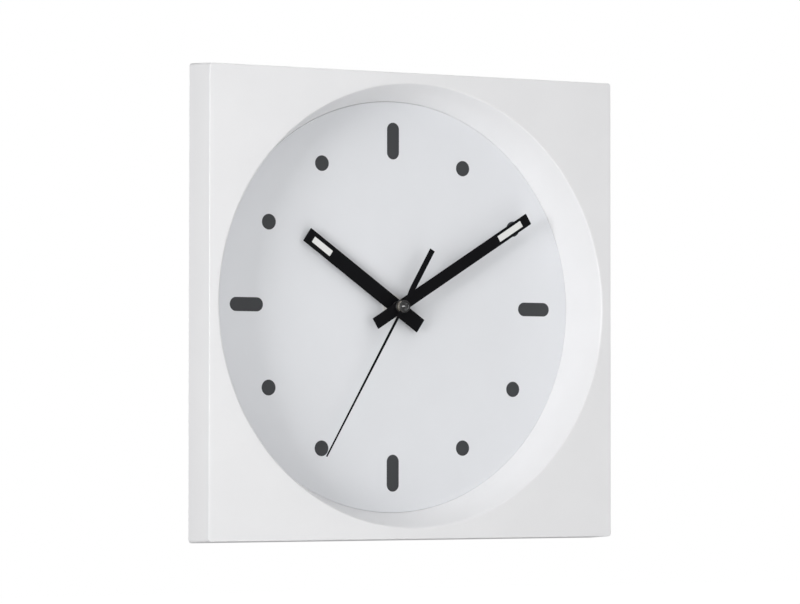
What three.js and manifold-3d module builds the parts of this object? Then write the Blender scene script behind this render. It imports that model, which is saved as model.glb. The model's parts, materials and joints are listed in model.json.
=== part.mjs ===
// A square wall clock: one-piece case shell, dial, three hands and a quartz movement.
//
// Lengths are millimetres. Inside the clock group, x runs right and z up as the dial is read, y is the
// depth behind the front face, and the origin is where the hands' axis meets the front face. The group
// is then placed so that the wall is the plane y = 0 and the nail it hangs on is the line x = z = 0.

import * as THREE from "three";
import { mergeVertices } from "three/addons/utils/BufferGeometryUtils.js";
import Module from "manifold-3d";

const wasm = await Module();
wasm.setup();

// ---- Driving dimensions ----------------------------------------------------------------------------

const GAP = 0.3; // between neighbours that touch
const RUNNING_GAP = 0.1; // between a shaft and its hole
const TOTAL_DEPTH = 51.5; // front face to wall
const NAIL_ABOVE_SHAFT = 38;
const RING_SIDES = 72; // facets of the large rings
const SMALL_SIDES = 20;
const PIN_SIDES = 10;

const CASE = {
  frontHalf: 150, rearHalf: 151.5, depth: 25.1, wall: 2.6,
  cornerRadius: 2, edgeRadius: 1.2, bossOffset: 107, bossRadius: 4.4,
};
const WELL = { mouthRadius: 142.6, floorRadius: 133.6, straightFrom: 29, rimRadius: 1.2, rearEdge: 30.8 };
const DIAL = { radius: 133, front: 29.3, thickness: 1.5, hole: 3.9 };
const BACK_PLATE = { radius: 138, front: 31.1, thickness: 2.2, ribHeight: 4, ribWidth: 1.6 };
const BUMPER = { offset: 82, postRadius: 6, postBore: 4.2, padRadius: 6.5, padThickness: 2 };
const SCREW = { shankRadius: 1.4, headRadius: 2.8, headHeight: 1.6, length: 12 };

// Hand angles are degrees clockwise from twelve; heights are above the dial.
const HOUR_HAND = {
  angle: 304.4, length: 80.5, tail: 22, width: 10, height: 4.4, thickness: 0.6,
  inlayFrom: 59, inlayTo: 75, inlayWidth: 4.2,
};
const MINUTE_HAND = {
  angle: 58.65, length: 114.5, tail: 22, width: 7.9, height: 9.7, thickness: 0.6,
  inlayFrom: 87.5, inlayTo: 108, inlayWidth: 4.3,
};
const SECOND_HAND = {
  angle: 210.4, length: 112.5, tail: 43, height: 13.6, thickness: 0.4,
  hubWidth: 1.8, tipWidth: 1, weightWidth: 3.9, weightFrom: 13,
};

// Movement: its own depths are measured back from its front face.
const MOVEMENT = { front: 34.9, half: 28, depth: 16, wall: 1.2, frontPlate: 1.6, coverThickness: 1.4 };
const BAY = { top: -12.2, dividerTop: -11 };
const BUSHING = { radius: 3.6, bore: 2.5, height: 2.9 };
const NUT = { acrossFlats: 9.5, thickness: 1.6 };
const WASHER = { radius: 8, thickness: 0.6 };
const GASKET = { radius: 11, thickness: 1 };
const HANGER = { front: 11.8, thickness: 2.5, slotRadius: 2.6, eyeRadius: 4.6, eyeBelowNail: 5 };
const BATTERY = { radius: 7, left: -24.1, right: 24.5, nubRadius: 2.75, nubEnd: 25.8, height: -19.5, depth: 8.5 };
const ARBOR_RADIUS = 0.35;
const SECOND_ARBOR_RADIUS = 0.5;
const PIVOT_FRONT = 1; // depth at which the arbors' front pivots end, inside the front plate
const BRIDGE = { front: 11.6, thickness: 1.2 };

// Gear modules of the five meshing pairs, and tooth proportions in modules or in parts of a pitch.
const ROTOR_MODULE = 0.25;
const SECOND_MODULE = 0.25;
const THIRD_MODULE = 0.27;
const CENTRE_MODULE = 0.255;
const MINUTE_MODULE = 0.375;
const HOUR_MODULE = 0.36;
const TEETH = {
  rotorPinion: 8, intermediateWheel: 48, intermediatePinion: 12, secondWheel: 60, secondPinion: 8,
  thirdWheel: 60, thirdPinion: 8, centreWheel: 64,
  cannonPinion: 12, minuteWheel: 36, minutePinion: 10, hourWheel: 40, knobPinion: 12,
};
const TOOTH = { addendum: 0.7, dedendum: 1.1, rootWidth: 0.56, tipWidth: 0.26 };

// ---- Places of the arbors, as seen from the front ---------------------------------------------------

const degrees = THREE.MathUtils.degToRad;

function pitchDistance(module, teeth, otherTeeth) {
  return (module * (teeth + otherTeeth)) / 2;
}

function beside(centre, direction, distance) {
  const x = centre.x + distance * Math.cos(direction);
  const z = centre.z + distance * Math.sin(direction);
  return { x, z };
}

const SHAFT = { x: 0, z: 0 };
const TO_INTERMEDIATE = degrees(150);
const TO_ROTOR = degrees(170);
const TO_THIRD = degrees(50);
const TO_MINUTE = degrees(-20);
const TO_KNOB = degrees(10);
const INTERMEDIATE = beside(
  SHAFT, TO_INTERMEDIATE, pitchDistance(SECOND_MODULE, TEETH.secondWheel, TEETH.intermediatePinion));
const ROTOR = beside(
  INTERMEDIATE, TO_ROTOR, pitchDistance(ROTOR_MODULE, TEETH.intermediateWheel, TEETH.rotorPinion));
const THIRD = beside(SHAFT, TO_THIRD, pitchDistance(THIRD_MODULE, TEETH.secondPinion, TEETH.thirdWheel));
const MINUTE = beside(SHAFT, TO_MINUTE, pitchDistance(MINUTE_MODULE, TEETH.cannonPinion, TEETH.minuteWheel));
const KNOB = beside(MINUTE, TO_KNOB, pitchDistance(MINUTE_MODULE, TEETH.minuteWheel, TEETH.knobPinion));

// ---- Materials --------------------------------------------------------------------------------------

const finish = (color, roughness, metalness = 0) => ({ color, roughness, metalness });
const WHITE_ABS = finish(0xf1f2f2, 0.3);
const DIAL_WHITE = finish(0xeef0f3, 0.55);
const HAND_BLACK = finish(0x17181a, 0.45);
const INLAY_WHITE = finish(0xf3f3f1, 0.6);
const BRASS = finish(0xb8985a, 0.35, 1);
const STEEL = finish(0xb9bcc0, 0.35, 1);
const MAGNET_GREY = finish(0x4c4d50, 0.5, 1);
const MOVEMENT_BLACK = finish(0x202124, 0.5);
const ACETAL_WHITE = finish(0xe9e7df, 0.45);
const RUBBER = finish(0x2a2a2b, 0.85);
const COPPER = finish(0xb5683a, 0.35, 1);
const BOARD_BROWN = finish(0x7a5a33, 0.6);
const CHIP_BLACK = finish(0x101010, 0.4);
const BATTERY_SLEEVE = finish(0x4d6f83, 0.4);

// ---- Solids -----------------------------------------------------------------------------------------

// A closed geometry as a manifold solid, turned right side out if its faces point inwards.
function solid(geometry) {
  geometry.deleteAttribute("normal");
  geometry.deleteAttribute("uv");
  const merged = mergeVertices(geometry, 1e-5);
  const position = merged.getAttribute("position");
  const index = merged.getIndex().array;
  const faces = [];
  let volume = 0;
  const [a, b, c] = [new THREE.Vector3(), new THREE.Vector3(), new THREE.Vector3()];
  for (let i = 0; i < index.length; i += 3) {
    const [p, q, r] = [index[i], index[i + 1], index[i + 2]];
    if (p === q || q === r || r === p) continue;
    faces.push([p, q, r]);
    a.fromBufferAttribute(position, p);
    b.fromBufferAttribute(position, q);
    c.fromBufferAttribute(position, r);
    volume += a.dot(b.cross(c));
  }
  const outward = volume < 0 ? faces.map(([p, q, r]) => [p, r, q]) : faces;
  const mesh = new wasm.Mesh({
    numProp: 3,
    vertProperties: Float32Array.from(position.array),
    triVerts: Uint32Array.from(outward.flat()),
  });
  return new wasm.Manifold(mesh);
}

const joined = (...solids) => solids.reduce((whole, next) => whole.add(next));
const cut = (whole, ...tools) => tools.reduce((rest, tool) => rest.subtract(tool), whole);

// A block between two corners, given as [low, high] on each axis.
function block([x0, x1], [y0, y1], [z0, z1]) {
  const geometry = new THREE.BoxGeometry(x1 - x0, y1 - y0, z1 - z0);
  geometry.translate((x0 + x1) / 2, (y0 + y1) / 2, (z0 + z1) / 2);
  return solid(geometry);
}

// A round bar along y between two depths.
function bar(radius, front, back, { x, z } = SHAFT, sides = SMALL_SIDES) {
  const geometry = new THREE.CylinderGeometry(radius, radius, back - front, sides);
  geometry.translate(x, (front + back) / 2, z);
  return solid(geometry);
}

// A tube along y: a bar less its bore.
function tube(radius, bore, front, back, centre = SHAFT, sides = SMALL_SIDES) {
  return cut(bar(radius, front, back, centre, sides), bar(bore, front - 1, back + 1, centre, sides));
}

// A profile of [radius, depth] points turned about the shaft's axis.
function turned(profile, sides = SMALL_SIDES) {
  const points = [...profile, profile[0]].map(([radius, depth]) => new THREE.Vector2(radius, depth));
  return solid(new THREE.LatheGeometry(points, sides));
}

// An outline of [x, z] points, with outlines of holes, carried back from one depth to another.
function slab(outline, front, back) {
  const shape = new THREE.Shape(outline.map(([x, z]) => new THREE.Vector2(x, z)));
  const geometry = new THREE.ExtrudeGeometry(shape, { depth: back - front, bevelEnabled: false });
  geometry.rotateX(Math.PI / 2);
  geometry.translate(0, back, 0);
  return solid(geometry);
}

// Points of an arc in the dial's plane.
function arc(x, z, radius, from, to, steps) {
  return Array.from({ length: steps + 1 }, (_, i) => {
    const angle = from + ((to - from) * i) / steps;
    return [x + radius * Math.cos(angle), z + radius * Math.sin(angle)];
  });
}

// Outline of a rectangle with rounded corners.
function roundedRectangle([x0, x1], [z0, z1], radius, steps = 4) {
  const quarter = Math.PI / 2;
  const corners = [[x1, z1, 0], [x0, z1, 1], [x0, z0, 2], [x1, z0, 3]];
  return corners.flatMap(([x, z, turn]) => {
    const inX = x === x1 ? x - radius : x + radius;
    const inZ = z === z1 ? z - radius : z + radius;
    return arc(inX, inZ, radius, turn * quarter, (turn + 1) * quarter, steps);
  });
}

// A solid through convex outlines that have as many points each, one at each depth.
function loft(sections) {
  const count = sections[0].outline.length;
  const positions = sections.flatMap(({ outline, depth }) => outline.flatMap(([x, z]) => [x, depth, z]));
  const faces = [];
  for (let s = 0; s + 1 < sections.length; s++) {
    for (let i = 0; i < count; i++) {
      const [a, b] = [s * count + i, s * count + ((i + 1) % count)];
      faces.push(a, b, b + count, a, b + count, a + count);
    }
  }
  const last = (sections.length - 1) * count;
  for (let i = 1; i + 1 < count; i++) {
    faces.push(0, i + 1, i, last, last + i, last + i + 1);
  }
  const geometry = new THREE.BufferGeometry();
  geometry.setAttribute("position", new THREE.Float32BufferAttribute(positions, 3));
  geometry.setIndex(faces);
  return solid(geometry);
}

// A named mesh of a solid.
function piece(name, whole, material) {
  const { vertProperties, triVerts } = whole.getMesh();
  const geometry = new THREE.BufferGeometry();
  geometry.setAttribute("position", new THREE.BufferAttribute(vertProperties, 3));
  geometry.setIndex(new THREE.BufferAttribute(triVerts, 1));
  geometry.computeVertexNormals();
  const mesh = new THREE.Mesh(geometry, new THREE.MeshStandardMaterial({ ...material, flatShading: true }));
  mesh.name = name;
  return mesh;
}

// ---- Case shell -------------------------------------------------------------------------------------

function caseHalf(depth) {
  return CASE.frontHalf + ((CASE.rearHalf - CASE.frontHalf) * depth) / CASE.depth;
}

function caseSection(depth, inset) {
  const half = caseHalf(depth) - inset;
  return { depth, outline: roundedRectangle([-half, half], [-half, half], CASE.cornerRadius - inset / 2) };
}

function wellRadius(depth) {
  const slope = (WELL.mouthRadius - WELL.floorRadius) / WELL.straightFrom;
  return Math.max(WELL.mouthRadius - slope * depth, WELL.floorRadius);
}

// The case's outside: a rounded front edge, then sides that widen slightly towards the wall.
function caseOutside() {
  const steps = 3;
  const edge = Array.from({ length: steps + 1 }, (_, i) => {
    const angle = (i / steps) * (Math.PI / 2);
    return caseSection(CASE.edgeRadius * (1 - Math.cos(angle)), CASE.edgeRadius * (1 - Math.sin(angle)));
  });
  return loft([...edge, caseSection(CASE.depth, 0)]);
}

function caseHollow() {
  const inset = CASE.wall;
  const section = (depth) => {
    const half = caseHalf(depth) - inset;
    return { depth, outline: roundedRectangle([-half, half], [-half, half], 1) };
  };
  return loft([section(CASE.wall), section(CASE.depth + 1)]);
}

// The space inside the well, with the rounded rim at its mouth.
function wellSpace() {
  const steps = 3;
  const rim = Array.from({ length: steps + 1 }, (_, i) => {
    const angle = (i / steps) * (Math.PI / 2);
    const depth = WELL.rimRadius * (1 - Math.cos(angle));
    return [wellRadius(depth) + WELL.rimRadius * (1 - Math.sin(angle)), depth];
  });
  const rearEnd = WELL.rearEdge + 1;
  return turned([
    [0, -1], [rim[0][0], -1], ...rim,
    [WELL.floorRadius, WELL.straightFrom], [WELL.floorRadius, rearEnd], [0, rearEnd],
  ], RING_SIDES);
}

function wellWall() {
  const inside = WELL.floorRadius - 4;
  const outside = (depth) => wellRadius(depth) + CASE.wall;
  return turned([
    [inside, 1], [outside(1), 1], [outside(WELL.straightFrom), WELL.straightFrom],
    [outside(WELL.rearEdge), WELL.rearEdge], [inside, WELL.rearEdge],
  ], RING_SIDES);
}

const CORNERS = [[1, 1], [-1, 1], [-1, -1], [1, -1]];
const bossCentre = ([sx, sz]) => ({ x: sx * CASE.bossOffset, z: sz * CASE.bossOffset });

// A web along the diagonal that ties a screw boss to the well's wall.
function bossWeb([sx, sz]) {
  const [from, to] = [WELL.floorRadius + 1, CASE.bossOffset * Math.SQRT2];
  const geometry = new THREE.BoxGeometry(to - from, 22, 1.8);
  geometry.translate((from + to) / 2, 15, 0);
  geometry.rotateY(-Math.atan2(sz, sx));
  return solid(geometry);
}

function caseShell() {
  const bosses = CORNERS.map((corner) => bar(CASE.bossRadius, 1.5, WELL.rearEdge, bossCentre(corner)));
  const pilots = CORNERS.map((corner) => {
    const depth = BACK_PLATE.front + BACK_PLATE.thickness - SCREW.length - 1;
    return bar(SCREW.shankRadius + GAP, depth, WELL.rearEdge + 1, bossCentre(corner), PIN_SIDES);
  });
  const hollow = cut(caseOutside(), caseHollow());
  const body = joined(hollow, wellWall(), ...bosses, ...CORNERS.map(bossWeb));
  return piece("case_shell", cut(body, wellSpace(), ...pilots), WHITE_ABS);
}

// ---- Dial, back plate and what fastens them ---------------------------------------------------------

function dial() {
  const back = DIAL.front + DIAL.thickness;
  const disc = bar(DIAL.radius, DIAL.front, back, SHAFT, RING_SIDES);
  return piece("dial", cut(disc, bar(DIAL.hole, DIAL.front - 1, back + 1)), DIAL_WHITE);
}

function backPlate() {
  const { front, thickness, ribHeight, ribWidth, radius } = BACK_PLATE;
  const back = front + thickness;
  const ribTop = back + ribHeight;
  const ringRadius = 127;
  const frameHalf = MOVEMENT.half + 0.4;
  const plate = bar(radius, front, back, SHAFT, RING_SIDES);
  const ring = tube(ringRadius + ribWidth / 2, ringRadius - ribWidth / 2, back - 1, ribTop, SHAFT, RING_SIDES);
  const spokes = Array.from({ length: 8 }, (_, i) => {
    const inner = frameHalf * Math.SQRT2;
    const geometry = new THREE.BoxGeometry(ringRadius - inner, ribHeight + 1, ribWidth);
    geometry.translate((ringRadius + inner) / 2, (back - 1 + ribTop) / 2, 0);
    geometry.rotateY((i * Math.PI) / 4);
    return solid(geometry);
  });
  const frameOuter = frameHalf + ribWidth;
  const outerSpan = [-frameOuter, frameOuter];
  const innerSpan = [-frameHalf, frameHalf];
  const frame = cut(
    block(outerSpan, [back - 1, ribTop], outerSpan), block(innerSpan, [back - 2, ribTop + 1], innerSpan));
  const lugs = CORNERS.flatMap(([sx, sz]) => {
    const { x, z } = bossCentre([sx, sz]);
    const geometry = new THREE.BoxGeometry(24, thickness, 13);
    geometry.rotateY(-Math.atan2(sz, sx));
    geometry.translate(x - 8 * sx, (front + back) / 2, z - 8 * sz);
    return [solid(geometry), bar(6.5, front, back, { x, z })];
  });
  const posts = [-1, 1].map((side) => bumperPost(side, back));
  const holes = CORNERS.map((corner) => bar(SCREW.shankRadius + 0.5, front - 1, back + 1, bossCentre(corner)));
  const bores = [-1, 1].map((side) => {
    return bar(BUMPER.postBore, back + 1, TOTAL_DEPTH, bumperCentre(side));
  });
  const body = joined(plate, ring, ...spokes, frame, ...lugs, ...posts);
  return piece("back_plate", cut(body, bar(DIAL.hole, front - 1, back + 1), ...holes, ...bores), WHITE_ABS);
}

const bumperCentre = (side) => ({ x: side * BUMPER.offset, z: -BUMPER.offset });
const postEnd = TOTAL_DEPTH - BUMPER.padThickness - GAP;

// A hollow post with four gussets at its foot.
function bumperPost(side, back) {
  const { x, z } = bumperCentre(side);
  const reach = 11;
  const gussets = [
    block([x - reach, x + reach], [back - 1, back + 8], [z - 0.8, z + 0.8]),
    block([x - 0.8, x + 0.8], [back - 1, back + 8], [z - reach, z + reach]),
  ];
  return joined(bar(BUMPER.postRadius, back - 1, postEnd, { x, z }), ...gussets);
}

function wallBumper(name, side) {
  const centre = bumperCentre(side);
  const pad = bar(BUMPER.padRadius, postEnd + GAP, TOTAL_DEPTH, centre);
  const plug = bar(BUMPER.postBore - GAP, postEnd - 4, postEnd + GAP + 0.5, centre);
  return piece(name, joined(pad, plug), RUBBER);
}

// A pan-head screw with a cross recess, driven from behind.
function backPlateScrew(name, corner) {
  const seat = BACK_PLATE.front + BACK_PLATE.thickness + GAP;
  const end = seat + SCREW.headHeight;
  const centre = bossCentre(corner);
  const head = bar(SCREW.headRadius, seat, end, centre);
  const shank = bar(SCREW.shankRadius, seat - SCREW.length, seat + 0.5, centre, PIN_SIDES);
  const recess = [[1.5, 0.35], [0.35, 1.5]].map(([halfX, halfZ]) => {
    const { x, z } = centre;
    return block([x - halfX, x + halfX], [end - 0.9, end + 1], [z - halfZ, z + halfZ]);
  });
  return piece(name, cut(joined(head, shank), ...recess), STEEL);
}

// ---- Hands ------------------------------------------------------------------------------------------

const aboveDial = (height) => DIAL.front - height;

// A flat bar hand that points to twelve, with a window near its tip and a hole for its bush.
function barHand(hand, hole) {
  const [front, back] = [aboveDial(hand.height + hand.thickness), aboveDial(hand.height)];
  const half = hand.width / 2;
  const windowHalf = hand.inlayWidth / 2;
  const blade = block([-half, half], [front, back], [-hand.tail, hand.length]);
  const window = block([-windowHalf, windowHalf], [front - 1, back + 1], [hand.inlayFrom, hand.inlayTo]);
  return cut(blade, window, bar(hole, front - 1, back + 1));
}

function inlay(hand) {
  const half = hand.inlayWidth / 2 - GAP;
  const span = [hand.inlayFrom + GAP, hand.inlayTo - GAP];
  return block([-half, half], [aboveDial(hand.height + hand.thickness), aboveDial(hand.height)], span);
}

// A group that turns its pieces clockwise to a hand's angle.
function pointing(angle, ...meshes) {
  const group = new THREE.Group();
  group.rotation.y = degrees(angle);
  group.add(...meshes);
  return group;
}

function hourHand() {
  const bush = turned([
    [2.7, aboveDial(3.3)], [4.4, aboveDial(3.3)], [4.4, aboveDial(4.1)], [3.4, aboveDial(4.1)],
    [3.4, aboveDial(5.6)], [2.7, aboveDial(5.6)],
  ]);
  return pointing(
    HOUR_HAND.angle,
    piece("hour_hand", barHand(HOUR_HAND, 3.7), HAND_BLACK),
    piece("hour_hand_inlay", inlay(HOUR_HAND), INLAY_WHITE),
    piece("hour_hand_bush", bush, HAND_BLACK),
  );
}

function minuteHand() {
  const bush = turned([
    [1.8, aboveDial(8.2)], [2.6, aboveDial(8.2)], [2.6, aboveDial(10.6)], [4.2, aboveDial(10.6)],
    [4.2, aboveDial(11.4)], [1.8, aboveDial(11.4)],
  ]);
  return pointing(
    MINUTE_HAND.angle,
    piece("minute_hand", barHand(MINUTE_HAND, 2.9), HAND_BLACK),
    piece("minute_hand_inlay", inlay(MINUTE_HAND), INLAY_WHITE),
    piece("minute_hand_bush", bush, HAND_BLACK),
  );
}

// A tapered needle and, behind a narrow neck, a square-ended counterweight.
function secondHandBlade() {
  const { length, tail, hubWidth, tipWidth, weightWidth, weightFrom, height, thickness } = SECOND_HAND;
  const rightSide = [
    [tipWidth / 2, length], [hubWidth / 2, 3], [hubWidth / 2, -3],
    [weightWidth / 2, -weightFrom], [weightWidth / 2, -tail],
  ];
  const leftSide = rightSide.map(([x, z]) => [-x, z]).reverse();
  const [front, back] = [aboveDial(height + thickness), aboveDial(height)];
  const hub = bar(2.3, front, back);
  return cut(joined(slab([...rightSide, ...leftSide], front, back), hub), bar(1.3, front - 1, back + 1));
}

// A collar behind the blade, a neck through it, then a flange and a domed boss, with a blind bore for the arbor.
function secondHandBush() {
  const bore = SECOND_ARBOR_RADIUS + GAP;
  return turned([
    [0, aboveDial(18.1)], [1.1, aboveDial(17.9)], [2, aboveDial(17.4)], [2.6, aboveDial(16.6)],
    [2.8, aboveDial(15.6)], [4, aboveDial(15.6)], [4, aboveDial(14.3)], [1, aboveDial(14.3)],
    [1, aboveDial(13.3)], [3.4, aboveDial(13.3)], [3.4, aboveDial(11.8)],
    [bore, aboveDial(11.8)], [bore, aboveDial(14.9)], [0, aboveDial(14.9)],
  ]);
}

function secondHand() {
  return pointing(
    SECOND_HAND.angle,
    piece("second_hand", secondHandBlade(), HAND_BLACK),
    piece("second_hand_bush", secondHandBush(), HAND_BLACK),
  );
}

// ---- Movement: case, cover and fastening ------------------------------------------------------------

const span = (half) => [-half, half];

// The bushing that the movement is clamped by, from its front plate to above the dial.
function bushing() {
  return bar(BUSHING.radius, aboveDial(BUSHING.height) - MOVEMENT.front, 1);
}

// The loop above the movement, with a keyhole for the nail: a round eye that narrows to a slot.
function hangerLoop() {
  const { front, thickness, slotRadius, eyeRadius, eyeBelowNail } = HANGER;
  const back = front + thickness;
  const nail = NAIL_ABOVE_SHAFT;
  const outline = [
    [-12, MOVEMENT.half - 1], [12, MOVEMENT.half - 1], [12, MOVEMENT.half + 2],
    ...arc(0, nail - 0.6, 6.2, degrees(30), degrees(150), 10), [-12, MOVEMENT.half + 2],
  ];
  const eye = { x: 0, z: nail - eyeBelowNail };
  return cut(
    slab(outline, front, back),
    bar(slotRadius, front - 1, back + 1, { x: 0, z: nail }),
    bar(eyeRadius, front - 1, back + 1, eye),
    block(span(slotRadius), [front - 1, back + 1], [eye.z, nail]),
  );
}

const PILLARS = [{ x: -4.5, z: -9.4 }, { x: 21.5, z: 7.5 }, { x: -4.5, z: 14.2 }, { x: 18, z: -9.3 }];

function movementCase() {
  const { half, depth, wall, frontPlate, coverThickness } = MOVEMENT;
  const inner = half - wall;
  const trainRear = depth - coverThickness - GAP;
  const outer = slab(roundedRectangle(span(half), span(half), 2), 0, depth);
  const train = block(span(inner), [frontPlate, depth + 1], [BAY.dividerTop, inner]);
  const bay = block(span(inner), [wall, depth + 1], [-inner, BAY.top]);
  const coverSeat = block([-half - 1, half + 1], [trainRear, depth + 1], [BAY.dividerTop - 0.6, half + 1]);
  const thumbNotch = block(span(8), [9, depth + 1], [-half - 1, -inner + 0.5]);
  const contactSlots = [-1, 1].map((side) => {
    const x = [side * (inner - 1), side * (inner + 0.1)].sort((a, b) => a - b);
    return block(x, [3.9, 6.3], [BAY.top - 1, BAY.dividerTop + 1]);
  });
  const pillars = PILLARS.map((place) => bar(1.1, 1, BRIDGE.front - GAP, place, PIN_SIDES));
  const bearings = [INTERMEDIATE, ROTOR, THIRD, MINUTE, KNOB].map((place) => {
    return bar(ARBOR_RADIUS + RUNNING_GAP, PIVOT_FRONT - 0.2, frontPlate + 1, place, PIN_SIDES);
  });
  const shell = cut(outer, train, bay, coverSeat, thumbNotch, ...contactSlots);
  const body = joined(shell, bushing(), hangerLoop(), ...pillars);
  const bore = bar(BUSHING.bore, -20, frontPlate + 1);
  return piece("movement_case", cut(body, bore, ...bearings), MOVEMENT_BLACK);
}

function movementCover() {
  const { half, depth, wall, coverThickness } = MOVEMENT;
  const front = depth - coverThickness;
  const bottom = BAY.dividerTop - 0.3;
  const lipOuter = half - wall - 0.4;
  const lipInner = lipOuter - 0.9;
  const plate = slab(roundedRectangle(span(half), [bottom, half], 1.5), front, depth);
  const lip = cut(
    block(span(lipOuter), [front - 1.4, front + 0.5], [BAY.dividerTop + 0.4, lipOuter]),
    block(span(lipInner), [front - 2, front + 1], [BAY.dividerTop + 1.3, lipInner]),
  );
  const recess = block(span(20), [depth - 0.3, depth + 1], [12, 24]);
  const knobWindow = bar(5.6, front - 2, depth + 1, KNOB);
  return piece("movement_cover", cut(joined(plate, lip), recess, knobWindow), MOVEMENT_BLACK);
}

function trainBridge() {
  const [front, back] = [BRIDGE.front, BRIDGE.front + BRIDGE.thickness];
  const plate = slab(roundedRectangle([-18.6, 22.8], [-10.3, 16], 1.5), front, back);
  const hole = (radius, place) => bar(radius, front - 1, back + 1, place, PIN_SIDES);
  const pivots = [INTERMEDIATE, ROTOR, THIRD, MINUTE].map((place) => hole(ARBOR_RADIUS + RUNNING_GAP, place));
  const secondPivot = hole(SECOND_ARBOR_RADIUS + RUNNING_GAP, SHAFT);
  const stemHole = bar(1.2 + RUNNING_GAP, front - 1, back + 1, KNOB);
  return piece("train_bridge", cut(plate, ...pivots, secondPivot, stemHole), MOVEMENT_BLACK);
}

function gasket() {
  const front = BACK_PLATE.front + BACK_PLATE.thickness + GAP;
  return piece("movement_gasket", tube(GASKET.radius, DIAL.hole, front, front + GASKET.thickness), RUBBER);
}

function dialWasher() {
  const back = DIAL.front - GAP;
  const washer = tube(WASHER.radius, DIAL.hole, back - WASHER.thickness, back, SHAFT, 40);
  return piece("dial_washer", washer, WHITE_ABS);
}

function shaftNut() {
  const back = DIAL.front - GAP - WASHER.thickness - GAP;
  const radius = NUT.acrossFlats / Math.sqrt(3);
  const nut = bar(radius, back - NUT.thickness, back, SHAFT, 6);
  return piece("shaft_nut", cut(nut, bar(DIAL.hole, back - NUT.thickness - 1, back + 1)), ACETAL_WHITE);
}

// ---- Movement: gear train ---------------------------------------------------------------------------

// Outline of a toothed wheel. Angles run anticlockwise as seen from the front; turn is tooth 0's.
function toothOutline(teeth, module, turn) {
  const pitchRadius = (teeth * module) / 2;
  const root = pitchRadius - TOOTH.dedendum * module;
  const tip = pitchRadius + TOOTH.addendum * module;
  const pitch = (2 * Math.PI) / teeth;
  const corners = [
    [root, -TOOTH.rootWidth / 2], [tip, -TOOTH.tipWidth / 2],
    [tip, TOOTH.tipWidth / 2], [root, TOOTH.rootWidth / 2],
  ];
  return Array.from({ length: teeth }, (_, i) => corners.map(([radius, along]) => {
    const angle = turn + (i + along) * pitch;
    return [radius * Math.cos(angle), radius * Math.sin(angle)];
  })).flat();
}

function gear(teeth, module, front, back, turn = 0) {
  return slab(toothOutline(teeth, module, turn), front, back);
}

// The turn of a gear that meshes with one whose turn is known, lying in a direction from it.
function meshingTurn(knownTurn, knownTeeth, teeth, direction) {
  const pitches = ((knownTurn - direction) * knownTeeth) / (2 * Math.PI);
  const offset = pitches - Math.round(pitches);
  return direction + Math.PI + ((0.5 - offset) * 2 * Math.PI) / teeth;
}

function at({ x, z }, ...meshes) {
  const group = new THREE.Group();
  group.position.set(x, 0, z);
  group.add(...meshes);
  return group;
}

const arbor = (front, back) => bar(ARBOR_RADIUS, front, back, SHAFT, PIN_SIDES);
const PIVOT_BACK = BRIDGE.front + BRIDGE.thickness;

function rotor() {
  const turn = meshingTurn(0, TEETH.intermediateWheel, TEETH.rotorPinion, TO_ROTOR);
  const pinion = gear(TEETH.rotorPinion, ROTOR_MODULE, 9.6, 11.2, turn);
  return at(
    ROTOR,
    piece("rotor", joined(arbor(PIVOT_FRONT, PIVOT_BACK), pinion), STEEL),
    piece("rotor_magnet", tube(3.1, ARBOR_RADIUS + GAP, 5.5, 8.3), MAGNET_GREY),
  );
}

function intermediateWheel() {
  const turn = meshingTurn(0, TEETH.secondWheel, TEETH.intermediatePinion, TO_INTERMEDIATE);
  const whole = joined(
    arbor(PIVOT_FRONT, PIVOT_BACK),
    gear(TEETH.intermediatePinion, SECOND_MODULE, 8.1, 9.5, turn),
    bar(1.1, 9.2, 10.4),
    gear(TEETH.intermediateWheel, ROTOR_MODULE, 10, 10.8),
  );
  return at(INTERMEDIATE, piece("intermediate_wheel", whole, ACETAL_WHITE));
}

function secondWheel() {
  const front = aboveDial(14.6) - MOVEMENT.front;
  const whole = joined(
    bar(SECOND_ARBOR_RADIUS, front, PIVOT_BACK),
    gear(TEETH.secondPinion, THIRD_MODULE, 6.3, 7.7),
    bar(1.2, 7.7, 9.8),
    gear(TEETH.secondWheel, SECOND_MODULE, 8.4, 9.2),
  );
  return piece("second_wheel", whole, ACETAL_WHITE);
}

function thirdWheel() {
  const turn = meshingTurn(0, TEETH.secondPinion, TEETH.thirdWheel, TO_THIRD);
  const whole = joined(
    arbor(PIVOT_FRONT, PIVOT_BACK),
    gear(TEETH.thirdPinion, CENTRE_MODULE, 4.5, 5.9),
    bar(1, 5.7, 7),
    gear(TEETH.thirdWheel, THIRD_MODULE, 6.6, 7.4, turn),
  );
  return at(THIRD, piece("third_wheel", whole, ACETAL_WHITE));
}

// The centre wheel is a slip fit on the minute pipe, so the hands can be set.
function centreWheel() {
  const turn = meshingTurn(0, TEETH.thirdPinion, TEETH.centreWheel, TO_THIRD + Math.PI);
  const wheel = gear(TEETH.centreWheel, CENTRE_MODULE, 4.8, 5.6, turn);
  return piece("centre_wheel", cut(wheel, bar(1.5 + RUNNING_GAP, 3, 7)), ACETAL_WHITE);
}

function minutePipe() {
  const front = aboveDial(11.5) - MOVEMENT.front;
  const whole = joined(bar(1.5, front, 6), gear(TEETH.cannonPinion, MINUTE_MODULE, 3, 4.2));
  return piece("minute_pipe", cut(whole, bar(SECOND_ARBOR_RADIUS + RUNNING_GAP, front - 1, 7)), BRASS);
}

const MINUTE_WHEEL_TURN = meshingTurn(0, TEETH.cannonPinion, TEETH.minuteWheel, TO_MINUTE);

function minuteWheel() {
  const whole = joined(
    arbor(PIVOT_FRONT, PIVOT_BACK),
    gear(TEETH.minutePinion, HOUR_MODULE, 1.9, 3.4),
    gear(TEETH.minuteWheel, MINUTE_MODULE, 3.2, 4, MINUTE_WHEEL_TURN),
  );
  return at(MINUTE, piece("minute_wheel", whole, ACETAL_WHITE));
}

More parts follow.
